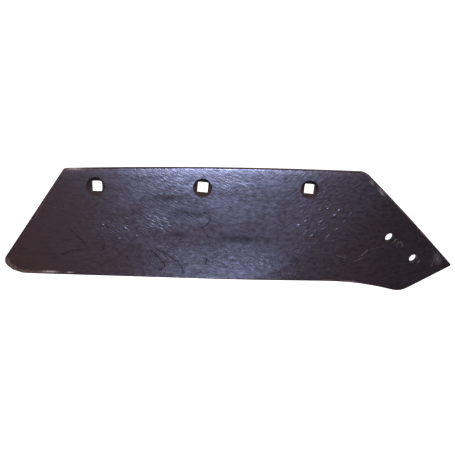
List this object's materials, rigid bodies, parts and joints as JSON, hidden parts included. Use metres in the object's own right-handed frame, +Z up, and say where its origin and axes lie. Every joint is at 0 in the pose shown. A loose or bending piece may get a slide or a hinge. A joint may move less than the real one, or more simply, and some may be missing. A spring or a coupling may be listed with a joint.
{
  "type": "plough share",
  "caption": "Right-hand plough share: flat steel blade with a bent-down pointed nose, a cutting edge bevelled from behind, countersunk square bolt holes and round point holes.",
  "frame": {"origin": "middle of the blade's box, on the surface it lies on", "axes": "+Z up out of the front face of the blade as it lies on its back, +X along the bolt row towards the nose, +Y towards the bolted top edge; the cutting edge is on the -Y side"},
  "size_m": [0.5702, 0.1578, 0.0203],
  "materials": {
    "painted_steel": "thin dark purple-brown paint over forged scale, satin, worn at the edges"
  },
  "bodies": {
    "root": {"plough_share": "painted_steel"}
  },
  "joints": []
}
